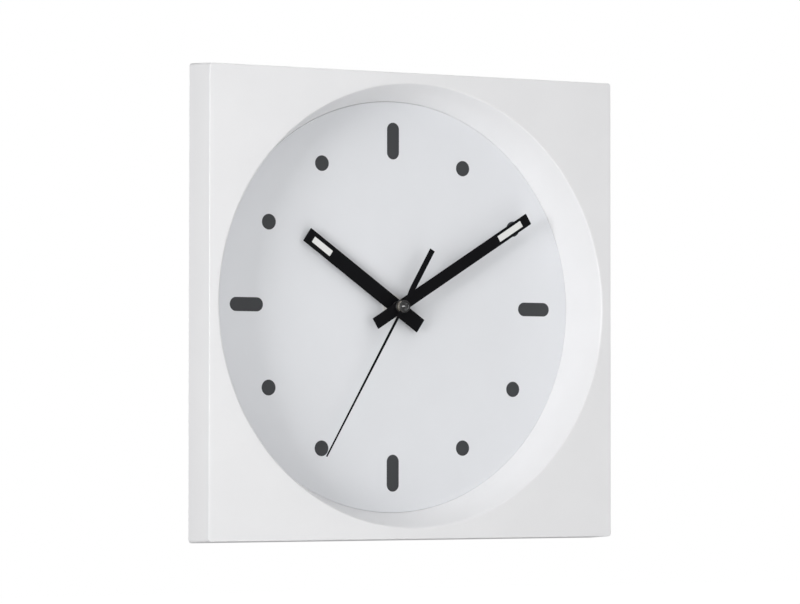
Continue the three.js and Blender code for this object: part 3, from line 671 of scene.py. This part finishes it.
@dataclass
class Case:
    """The square moulding: front, sides and the conical well, all one skin."""

    shop: Workshop
    front_half: float = 150.0
    rear_half: float = 151.5
    depth: float = 25.1
    wall: float = 2.6
    corner: float = 2.0
    edge: float = 0.45
    rim: float = 1.1
    mouth: float = 142.6
    floor: float = 133.6
    straight_from: float = 29.0
    rear_edge: float = 30.8
    boss_offset: float = POST_OFFSET
    boss_radius: float = 4.4

    def well_radius(self, depth: np.ndarray | float) -> Any:
        """Radius of the cone at a depth."""
        return np.maximum(self.mouth - (self.mouth - self.floor) / self.straight_from * depth, self.floor)

    def columns(self, straight: int = 112, bend: int = 7) -> tuple[np.ndarray, np.ndarray, np.ndarray]:
        """Directions that every ring shares.

        Returns:
            B and D of a rounded square, whose points are (h - c) B + c D for half-width h and corner radius c,
            and each point's direction from the centre, as a unit vector, for the round rings.
        """
        slope = np.tan(np.radians(np.linspace(-44.6, 44.6, straight)))
        slope = slope / slope[-1]
        turn = np.radians(np.linspace(0.0, 90.0, bend + 2))[1:-1]
        side = np.concatenate([np.column_stack([np.ones(straight), slope]), np.ones((bend, 2))])
        facing = np.concatenate([np.tile([1.0, 0.0], (straight, 1)), np.column_stack([np.cos(turn), np.sin(turn)])])
        quarter = [np.array([[c, -s], [s, c]]) for c, s in ((1, 0), (0, 1), (-1, 0), (0, -1))]
        base = np.concatenate([side @ q.T for q in quarter])
        bent = np.concatenate([facing @ q.T for q in quarter])
        ray = (self.front_half - self.corner) * base + self.corner * bent
        return base, bent, ray / np.linalg.norm(ray, axis=1, keepdims=True)

    def shell(self) -> Surface:
        """The skin as rings: from the well's rear edge over the rim and front, round the sides and back inside.

        A round ring of radius r is r times the direction; a square ring is (h - c) B + c D; the rings of the
        front face are a share m of the square and 1 - m of the circle.
        """
        base, bent, ray = self.columns()
        well = filleted([
            (self.floor, self.rear_edge, 0.25), (self.floor, self.straight_from, 1.5),
            (self.mouth + 0.3, 0.0, self.rim), (self.mouth + 2.4, 0.0, 0.0),
        ], False, 7)
        well = np.vstack([[self.floor + 0.6, self.rear_edge], well])
        inner = self.wall * 1.02
        sides = filleted([
            (self.front_half - 2.4, 0.0, 0.0), (self.front_half, 0.0, self.edge),
            (self.rear_half, self.depth, 0.5), (self.rear_half - self.wall, self.depth, 0.4),
            (self.front_half + 0.1 - inner, self.wall, 1.0), (self.front_half - inner - 1.6, self.wall, 0.0),
        ], False, 6)
        hidden = filleted([
            (self.well_radius(self.wall) + inner + 0.2, self.wall, 0.0),
            (self.floor + inner, self.straight_from, 1.0), (self.floor + inner, self.rear_edge, 0.3),
            (self.floor + 0.8, self.rear_edge, 0.0),
        ], False, 5)

        def round_rings(profile: Loop) -> np.ndarray:
            """Rings of the given radii and depths."""
            plan = profile[:, :1, None] * ray[None]
            return np.stack([plan[..., 0], np.broadcast_to(profile[:, 1:], plan.shape[:2]), plan[..., 1]], -1)

        def square_rings(profile: Loop) -> np.ndarray:
            """Rings of the given half-widths and depths, with corners that shrink with the inset."""
            half = profile[:, :1, None]
            draft = (self.rear_half - self.front_half) * profile[:, 1:, None] / self.depth
            inset = np.maximum(self.front_half - half + draft, 0.0)
            bend = np.maximum(self.corner - inset, 0.7)
            plan = (half - bend) * base[None] + bend * bent[None]
            return np.stack([plan[..., 0], np.broadcast_to(profile[:, 1:], plan.shape[:2]), plan[..., 1]], -1)

        circle_part, square_part, hidden_part = round_rings(well), square_rings(sides), round_rings(hidden)
        share = np.linspace(0.0, 1.0, 6)[1:-1, None, None]
        front = (1 - share) * circle_part[-1] + share * square_part[0]
        return woven(np.concatenate([circle_part, front, square_part, hidden_part]), True)

    def posts(self) -> Surface:
        """Four screw posts, each tied to the well by a web along the diagonal."""
        bodies = []
        for index, (sx, sz) in enumerate(((1, 1), (-1, 1), (-1, -1), (1, -1))):
            centre = (sx * self.boss_offset, sz * self.boss_offset)
            profile = filleted([
                (self.boss_radius, 2.0, 0.0), (self.boss_radius, self.rear_edge, 0.4), (1.7, self.rear_edge, 0.2),
                (1.7, 20.0, 0.0), (0.0, 20.0, 0.0), (0.0, 2.0, 0.0),
            ], True, 4)
            bodies.append(revolved(profile, centre, 32))
            near, far, tip = 4.0, 26.0, self.boss_offset * np.sqrt(2) - 3.0
            outline = np.array([
                (self.well_radius(near) + 1.3, near), (tip, near), (tip, far), (self.well_radius(far) + 1.3, far),
            ])
            web = stamped([outline], -0.9, 0.9, 0.15, 2)
            upright = Surface(web.points[:, [0, 2, 1]], web.faces)
            bodies.append(upright.turned(-45.0 - 90.0 * index))
        return joined(*bodies)

    def build(self) -> None:
        """Make the case."""
        self.shop.piece("case_skin", self.shell(), Finishes.CASE, "clock", "case_shell", sharp=60.0)
        self.shop.piece("case_posts", self.posts(), Finishes.CASE, "clock")


# ---- The dial ----


@dataclass
class Dial:
    """The round dial, its printed marks, and the washer and nut on the shaft."""

    shop: Workshop
    radius: float = 133.5
    seat: tuple[float, float] = (0.07, -0.03)
    front: float = DIAL_FRONT
    thickness: float = 1.5
    hole: float = SHAFT_HOLE
    ink: float = 0.05
    dot_radius: float = 5.05
    dot_circle: float = 106.0
    bar_length: float = 24.0
    bar_width: float = 9.0
    bar_circle: float = 108.0

    def disc(self) -> Surface:
        """The sheet: a flat ring with slightly rounded edges, seated a hair off centre in the well."""
        loops = [circle(self.radius, self.seat, 448), circle(self.hole, sides=64)[::-1]]
        return stamped(loops, self.front, self.front + self.thickness, 0.05, 2)

    def marks(self) -> Surface:
        """A bar at each quarter and a dot at each other hour, as a film of ink."""
        front, back = self.front - self.ink, self.front + 0.02
        half, reach = self.bar_width / 2, self.bar_length / 2
        lower = np.linspace(np.pi, 2 * np.pi, 25)
        ends = [np.column_stack([half * np.cos(turn), offset + half * np.sin(turn)])
                for turn, offset in ((lower, half - reach), (lower + np.pi, reach - half))]
        bar = np.concatenate(ends) + np.array([0.0, self.bar_circle])
        marks = []
        for hour in range(12):
            outline = bar if hour % 3 == 0 else circle(self.dot_radius, (0.0, self.dot_circle), 72)
            marks.append(stamped([outline], front, back, 0.02, 1).turned(30.0 * hour))
        return joined(*marks)

    def washer(self) -> Surface:
        """A thin flat ring with rounded edges."""
        near, far = self.front - 0.9, self.front - 0.3
        profile = filleted([(self.hole, near, 0.15), (8.0, near, 0.25), (8.0, far, 0.15), (self.hole, far, 0.15)], True)
        return revolved(profile, sides=96)

    def nut(self) -> Surface:
        """A thin white hexagon nut with a round bore."""
        corner = 9.5 / np.sqrt(3.0)
        angle = np.radians(np.arange(6) * 60.0 + 15.0)
        outline = filleted([(corner * np.cos(a), corner * np.sin(a), 0.4) for a in angle], True, 4)
        return stamped([outline, circle(self.hole, sides=48)[::-1]], self.front - 2.8, self.front - 1.2, 0.25, 3)

    def build(self) -> None:
        """Make the dial and what sits on it."""
        self.shop.piece("dial_sheet", self.disc(), Finishes.DIAL, "clock", "dial")
        self.shop.piece("dial_marks", self.marks(), Finishes.INK, "clock")
        self.shop.piece("washer_ring", self.washer(), Finishes.WASHER, "clock", "dial_washer")
        self.shop.piece("hexagon_nut", self.nut(), Finishes.ACETAL, "clock", "shaft_nut")


# ---- The hands ----


@dataclass
class BarHand:
    """A flat bar with a paint-filled window near its tip, pressed on a bush."""

    shop: Workshop
    name: str
    body: str
    angle: float
    length: float
    tail: float
    width: float
    height: float
    window: tuple[float, float]
    window_width: float
    hole: float
    bush: list[Triple]
    dial_front: float = DIAL_FRONT
    thickness: float = 0.6

    def build(self) -> None:
        """Make the blade, the fill of its window and its bush."""
        near, far = self.dial_front - self.height - self.thickness, self.dial_front - self.height
        half, slit = self.width / 2, self.window_width / 2
        outline = rectangle((-half, half), (-self.tail, self.length), 0.25)
        window = rectangle((-slit, slit), self.window, 0.2)[::-1]
        blade = stamped([outline, window, circle(self.hole, sides=48)[::-1]], near, far, 0.13)
        gap = 0.02
        filled = rectangle((gap - slit, slit - gap), (self.window[0] + gap, self.window[1] - gap), 0.2)
        fill = stamped([filled], near + 0.06, far, 0.04, 2)
        profile = filleted([(r, self.dial_front - h, reach) for r, h, reach in self.bush], True)
        hub = revolved(profile, sides=72)
        name, body = self.name, self.body
        self.shop.piece(f"{name}_blade", blade.turned(self.angle), Finishes.HAND, body, name)
        self.shop.piece(f"{name}_window", fill.turned(self.angle), Finishes.INLAY, body, f"{name}_inlay")
        self.shop.piece(f"{name}_hub", hub, Finishes.BUSH, body, f"{name}_bush")


@dataclass
class SecondHand:
    """A tapered needle with a square-ended counterweight, between a bright collar and a glossy black boss."""

    shop: Workshop
    angle: float = 210.4
    length: float = 112.5
    tail: float = 43.0
    weight: float = 3.9
    height: float = 13.6
    dial_front: float = DIAL_FRONT

    def turned(self, rows: list[Triple]) -> Surface:
        """A closed profile of (radius, height above the dial, reach) rows carried round the hands' axis."""
        return revolved(filleted([(r, self.dial_front - h, reach) for r, h, reach in rows], True), sides=72)

    def build(self) -> None:
        """Make the needle, the collar and the boss."""
        half = self.weight / 2
        outline = filleted([
            (-0.5, self.length, 0.2), (-0.9, 3.0, 1.0), (-0.9, -3.0, 1.5), (-half, -13.0, 3.0),
            (-half, -self.tail, 0.25), (half, -self.tail, 0.25),
            (half, -13.0, 3.0), (0.9, -3.0, 1.5), (0.9, 3.0, 1.0), (0.5, self.length, 0.2),
        ], True)
        far = self.dial_front - self.height
        near = far - 0.4
        blade = stamped([outline], near, far, 0.09, 3)
        eye = self.turned([(1.3, 14.01, 0.0), (2.3, 14.01, 0.1), (2.3, 13.59, 0.1), (1.3, 13.59, 0.0)])
        collar = joined(
            self.turned([
                (0.8, 11.8, 0.1), (3.5, 11.8, 0.2), (3.5, 13.55, 0.1),
                (1.0, 13.55, 0.0), (1.0, 14.4, 0.0), (0.8, 14.4, 0.0),
            ]),
            self.turned([(1.0, 14.05, 0.0), (3.7, 14.05, 0.1), (3.7, 15.35, 0.05), (1.0, 15.35, 0.0)]),
        )
        boss = self.turned([
            (0.0, 18.1, 0.0), (1.0, 18.1, 0.5), (2.8, 16.2, 0.5), (2.8, 15.6, 0.1), (4.0, 15.6, 0.1), (4.0, 15.3, 0.1),
            (0.8, 15.3, 0.0), (0.8, 15.8, 0.0), (0.0, 15.8, 0.0),
        ])
        body = "second_hand_set"
        self.shop.piece("second_hand_blade", joined(blade, eye).turned(self.angle), Finishes.HAND, body, "second_hand")
        self.shop.piece("second_hand_collar", collar, Finishes.COLLAR, body)
        self.shop.piece("second_hand_boss", boss, Finishes.BUSH, body, "second_hand_bush")


# ---- The back ----


@dataclass
class BackPlate:
    """The ribbed plate that closes the well, its screws and the two rubber bumpers."""

    shop: Workshop
    radius: float = 138.0
    front: float = 31.1
    back: float = 33.3
    rib_top: float = 37.3
    rib: float = 1.6
    ring: float = 127.0
    frame: float = 28.4
    boss: float = POST_OFFSET
    lug: float = 6.5
    bumper: float = 82.0
    post_end: float = 49.2

    def outline(self) -> Loop:
        """The disc with a round-ended lug at each corner: each quarter is the lug's end, then the disc's edge."""
        reach = self.boss * np.sqrt(2)
        across = np.arcsin(self.lug / self.radius)
        end = np.linspace(-np.pi / 2, np.pi / 2, 17)
        tip = np.column_stack([reach + self.lug * np.cos(end), self.lug * np.sin(end)])
        edge = np.linspace(across, np.pi / 2 - across, 61)
        rim = self.radius * np.column_stack([np.cos(edge), np.sin(edge)])
        quarter = np.concatenate([tip, rim])
        turns = np.radians(45.0 + 90.0 * np.arange(4))
        return np.concatenate([quarter @ np.array([[np.cos(t), np.sin(t)], [-np.sin(t), np.cos(t)]]) for t in turns])

    def plate(self) -> Surface:
        """The plate with its shaft hole and screw holes."""
        corners = [(sx * self.boss, sz * self.boss) for sx in (1, -1) for sz in (1, -1)]
        holes = [circle(1.9, corner, 32)[::-1] for corner in corners]
        return stamped([self.outline(), circle(SHAFT_HOLE, sides=48)[::-1], *holes], self.front, self.back, 0.3, 3)

    def ribs(self) -> Surface:
        """Ring, spokes, the square frame round the movement, and the bumper posts with their gussets."""
        foot, half = self.back - 0.2, self.rib / 2
        ring = filleted([
            (self.ring - half, foot, 0.0), (self.ring + half, foot, 0.0),
            (self.ring + half, self.rib_top, 0.35), (self.ring - half, self.rib_top, 0.35),
        ], True)
        outer = self.frame + self.rib
        outside = rectangle((-outer, outer), (-outer, outer), 1.2)
        inside = rectangle((-self.frame, self.frame), (-self.frame, self.frame), 0.3)[::-1]
        frame = stamped([outside, inside], foot, self.rib_top - 0.02, 0.3, 3)
        bodies = [revolved(ring, sides=256), frame]
        for index in range(8):
            inner = outer - 0.3 if index % 2 == 0 else (outer - 0.3) * np.sqrt(2)
            plan = rectangle((inner, self.ring - 0.3), (-half, half), 0.1, 2)
            bodies.append(stamped([plan], foot, self.rib_top - 0.05, 0.3, 3).turned(45.0 * index))
        for side in (-1, 1):
            centre = (side * self.bumper, -self.bumper)
            post = filleted([
                (4.2, self.back + 1, 0.0), (4.2, self.post_end, 0.3), (6.0, self.post_end, 0.4),
                (6.0, foot, 0.0), (0.0, foot, 0.0), (0.0, self.back + 1, 0.0),
            ], True)
            bodies.append(revolved(post, centre, 48))
            for span in ((11.0, 0.8), (0.8, 11.0)):
                x, z = ((centre[0] - span[0], centre[0] + span[0]), (centre[1] - span[1], centre[1] + span[1]))
                bodies.append(stamped([rectangle(x, z, 0.2, 3)], foot, self.back + 8.0, 0.25, 2))
        return joined(*bodies)

    def build(self) -> None:
        """Make the plate, the screws and the bumpers."""
        self.shop.piece("back_disc", self.plate(), Finishes.BACK, "clock", "back_plate")
        self.shop.piece("back_ribs", self.ribs(), Finishes.BACK, "clock")
        for number in range(1, 5):
            self.shop.softened(f"back_plate_screw_{number}", Finishes.STEEL, 0.15)
        for name, side in (("left", -1), ("right", 1)):
            end = self.post_end
            pad = filleted([
                (0.0, end - 4.0, 0.0), (3.9, end - 4.0, 0.3), (3.9, end + 0.3, 0.0),
                (6.5, end + 0.3, 0.3), (6.5, end + 2.3, 0.7), (0.0, end + 2.3, 0.0),
            ], False)
            cap = revolved(pad, (side * self.bumper, -self.bumper), 64, False)
            self.shop.piece(f"bumper_{name}", cap, Finishes.RUBBER, "clock", f"wall_bumper_{name}")


# ---- The movement ----


@dataclass
class Movement:
    """The quartz movement. Its pieces keep their CAD shapes, with their edges rounded, apart from the cell."""

    shop: Workshop
    finishes: dict[str, tuple[Finishes, float]] = field(default_factory=lambda: {
        "movement_gasket": (Finishes.RUBBER, 0.2),
        "movement_case": (Finishes.MOVEMENT, 0.22),
        "movement_cover": (Finishes.MOVEMENT, 0.22),
        "train_bridge": (Finishes.ACETAL, 0.12),
        "rotor": (Finishes.ACETAL, 0.02),
        "rotor_magnet": (Finishes.MAGNET, 0.1),
        "intermediate_wheel": (Finishes.ACETAL, 0.02),
        "second_wheel": (Finishes.ACETAL, 0.02),
        "third_wheel": (Finishes.ACETAL, 0.02),
        "centre_wheel": (Finishes.ACETAL, 0.02),
        "minute_pipe": (Finishes.BRASS, 0.02),
        "minute_wheel": (Finishes.ACETAL, 0.02),
        "hour_wheel": (Finishes.ACETAL, 0.02),
        "setting_knob": (Finishes.ACETAL, 0.1),
        "stator": (Finishes.STEEL, 0.06),
        "coil_core": (Finishes.STEEL, 0.06),
        "coil_bobbin": (Finishes.ACETAL, 0.08),
        "coil_winding": (Finishes.COPPER, 0.2),
        "circuit_board": (Finishes.BOARD, 0.06),
        "quartz_crystal": (Finishes.STEEL, 0.1),
        "circuit_chip": (Finishes.CHIP, 0.2),
        "positive_contact": (Finishes.STEEL, 0.05),
        "negative_contact": (Finishes.STEEL, 0.05),
    })
    front: float = 34.9
    cell_radius: float = 7.0
    cell_left: float = -24.1
    cell_right: float = 24.5
    nub: float = 2.75
    nub_end: float = 25.8
    cell_height: float = -19.5
    cell_depth: float = 8.5

    def cell(self) -> Surface:
        """The cell: a profile of (radius, x) points carried round the cell's own axis, which runs along x."""
        left, right = self.cell_left, self.cell_right
        profile = filleted([
            (0.0, left, 0.0), (4.6, left, 0.2), (5.0, left + 0.25, 0.2), (6.5, left + 0.25, 0.3),
            (self.cell_radius, left + 0.8, 0.3), (self.cell_radius, right - 0.9, 0.3), (6.3, right, 0.3),
            (self.nub + 0.5, right, 0.2), (self.nub, right + 0.3, 0.2),
            (self.nub, self.nub_end, 0.35), (0.0, self.nub_end, 0.0),
        ], False)
        bare = revolved(profile, sides=96, closes=False)
        around_x, along, around_z = bare.points.T
        depth = self.front + self.cell_depth
        return Surface(np.column_stack([along, around_x + depth, around_z + self.cell_height]), bare.faces)

    def build(self) -> None:
        """Dress every piece of the movement."""
        for name, (finish, edge) in self.finishes.items():
            self.shop.softened(name, finish, edge)
        self.shop.piece("cell", self.cell(), Finishes.SLEEVE, "clock", "battery")


# ---- Studio ----


@dataclass(frozen=True)
class Lamp:
    """A round soft light.

    power is in watts, size and distance are in metres, and left and up are its angles from the hands' axis.
    """

    name: str
    power: float
    size: float
    distance: float
    left: float
    up: float


@dataclass
class Studio:
    """A white room with a pale floor, and the camera.

    One soft light stands on the left, with broad fills in front, above, below and behind. turn is the camera's
    rotation from looking straight at the dial, its axis times its degrees, and stand is its place in metres
    from the middle of the clock's front.
    """

    axes: ClockAxes
    surround: float = 0.34
    lamps: tuple[Lamp, ...] = (
        Lamp("key", 11.5, 0.6, 1.5, 67.0, 2.0),
        Lamp("front", 13.6, 2.0, 2.5, 0.0, 2.0),
        Lamp("beside", 2.0, 1.0, 2.5, 32.0, 0.0),
        Lamp("over", 10.5, 2.0, 2.5, -10.0, 55.0),
        Lamp("under", 12.0, 2.0, 2.5, -10.0, -55.0),
        Lamp("behind", 10.0, 2.0, 2.5, 180.0, 0.0),
    )
    lens: float = 183.6
    sensor: float = 36.0
    turn: Triple = (-1.804, -30.363, 0.539)
    stand: Triple = (-1.3362, -2.2606, -0.0829)
    floor_height: float = -0.62
    floor_half: float = 9.0

    def world(self) -> None:
        """White to the camera, and an even grey-white surround to everything else."""
        world = bpy.data.worlds.new("surround")
        bpy.context.scene.world = world
        world.use_nodes = True
        tree = world.node_tree
        tree.nodes.clear()
        seen = tree.nodes.new("ShaderNodeLightPath")
        strength = tree.nodes.new("ShaderNodeMapRange")
        strength.inputs["To Min"].default_value = self.surround
        strength.inputs["To Max"].default_value = 1.0
        glow = tree.nodes.new("ShaderNodeBackground")
        output = tree.nodes.new("ShaderNodeOutputWorld")
        tree.links.new(seen.outputs["Is Camera Ray"], strength.inputs["Value"])
        tree.links.new(strength.outputs["Result"], glow.inputs["Strength"])
        tree.links.new(glow.outputs[0], output.inputs["Surface"])
        glow.inputs["Color"].default_value = (1.0, 1.0, 1.0, 1.0)

    def aimed(self, data: bpy.types.ID, name: str, place: Vector, target: Vector) -> bpy.types.Object:
        """Put a light or camera at a place, looking at a target."""
        thing = bpy.data.objects.new(name, data)
        thing.location = place
        thing.rotation_euler = (target - place).to_track_quat("-Z", "Y").to_euler()
        bpy.context.scene.collection.objects.link(thing)
        return thing

    def lights(self) -> None:
        """The soft lights, aimed at the middle of the clock's front."""
        target = Vector(self.axes.metres(np.array([[0.0, 0.0, 0.0]]))[0])
        for lamp in self.lamps:
            left, up = np.radians(lamp.left), np.radians(lamp.up)
            away = Vector((-np.sin(left) * np.cos(up), -np.cos(left) * np.cos(up), np.sin(up)))
            data = bpy.data.lights.new(lamp.name, "AREA")
            data.shape = "DISK"
            data.size = lamp.size
            data.energy = lamp.power
            self.aimed(data, lamp.name, target + away * lamp.distance, target)

    def floor(self) -> None:
        """A pale, evenly bright floor under the clock. It neither shades the clock nor shows in it."""
        half, low = self.floor_half, self.floor_height
        mesh = bpy.data.meshes.new("floor")
        corners = [(-half, -half, low), (half, -half, low), (half, half, low), (-half, half, low)]
        mesh.from_pydata(corners, [], [(0, 1, 2, 3)])
        recipe = Recipe("studio_white")
        mesh.materials.append(recipe.finish(
            Base_Color=(0.8, 0.8, 0.8, 1.0), Roughness=0.9,
            Emission_Color=(1.0, 1.0, 1.0, 1.0), Emission_Strength=0.75))
        floor = bpy.data.objects.new("floor", mesh)
        floor.visible_diffuse = False
        floor.visible_glossy = False
        floor.visible_shadow = False
        bpy.context.scene.collection.objects.link(floor)

    def camera(self) -> None:
        """A long lens, 30 degrees to the left of the dial's axis and a little under it."""
        axis = Vector(self.turn)
        turn = Matrix.Rotation(np.radians(axis.length), 3, axis.normalized())
        basis = turn @ Matrix(((1, 0, 0), (0, 0, -1), (0, 1, 0)))
        facing = basis.transposed() @ Matrix.Diagonal((1.0, -1.0, -1.0))
        front_centre = Vector(self.axes.metres(np.array([[0.0, 0.0, 0.0]]))[0])
        data = bpy.data.cameras.new("camera")
        data.lens = self.lens
        data.sensor_width = self.sensor
        data.sensor_fit = "HORIZONTAL"
        data.clip_start = 0.05
        data.clip_end = 60.0
        thing = bpy.data.objects.new("camera", data)
        place = front_centre + Vector(self.stand)
        thing.matrix_world = Matrix.Translation(place) @ facing.to_4x4()
        bpy.context.scene.collection.objects.link(thing)
        bpy.context.scene.camera = thing

    def build(self) -> None:
        """Set the room up."""
        settings = bpy.context.scene.view_settings
        settings.view_transform = "Standard"
        settings.look = "None"
        self.world()
        self.lights()
        self.floor()
        self.camera()


# ---- Putting it together ----


def main() -> None:
    """Load the frame and build each sub-assembly in order."""
    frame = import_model()
    axis = next(joint for joint in frame["joints"] if joint["name"] == "second_hand_spin")["pos_m"]
    front = min(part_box("case_shell")[0][1], 0.0)
    axes = ClockAxes(axis[0] / MM, axis[2] / MM, front / MM)
    riders = frame["record"]["behaviour"]["bodies"]
    bodies = {name: body for body, names in riders.items() for name in names}
    shop = Workshop(axes, frame["nodes"], bodies)

    Case(shop).build()
    Dial(shop).build()
    BarHand(
        shop, "hour_hand", "hour_hand_set", angle=304.4, length=80.5, tail=22.0, width=10.0, height=4.4,
        window=(59.0, 75.0), window_width=4.2, hole=3.6,
        bush=[
            (2.7, 3.3, 0.1), (4.4, 3.3, 0.2), (4.4, 4.1, 0.15),
            (3.4, 4.1, 0.0), (3.4, 5.6, 0.2), (2.7, 5.6, 0.1),
        ],
    ).build()
    BarHand(
        shop, "minute_hand", "minute_hand_set", angle=58.65, length=114.5, tail=22.0, width=7.9, height=9.7,
        window=(87.5, 108.0), window_width=4.3, hole=2.8,
        bush=[
            (1.8, 8.2, 0.1), (2.6, 8.2, 0.1), (2.6, 10.6, 0.0),
            (4.2, 10.6, 0.15), (4.2, 11.4, 0.3), (1.8, 11.4, 0.2),
        ],
    ).build()
    SecondHand(shop).build()
    BackPlate(shop).build()
    Movement(shop).build()
    Studio(axes).build()

    log.info("%d pieces made", shop.made)


if __name__ == "__main__":
    main()
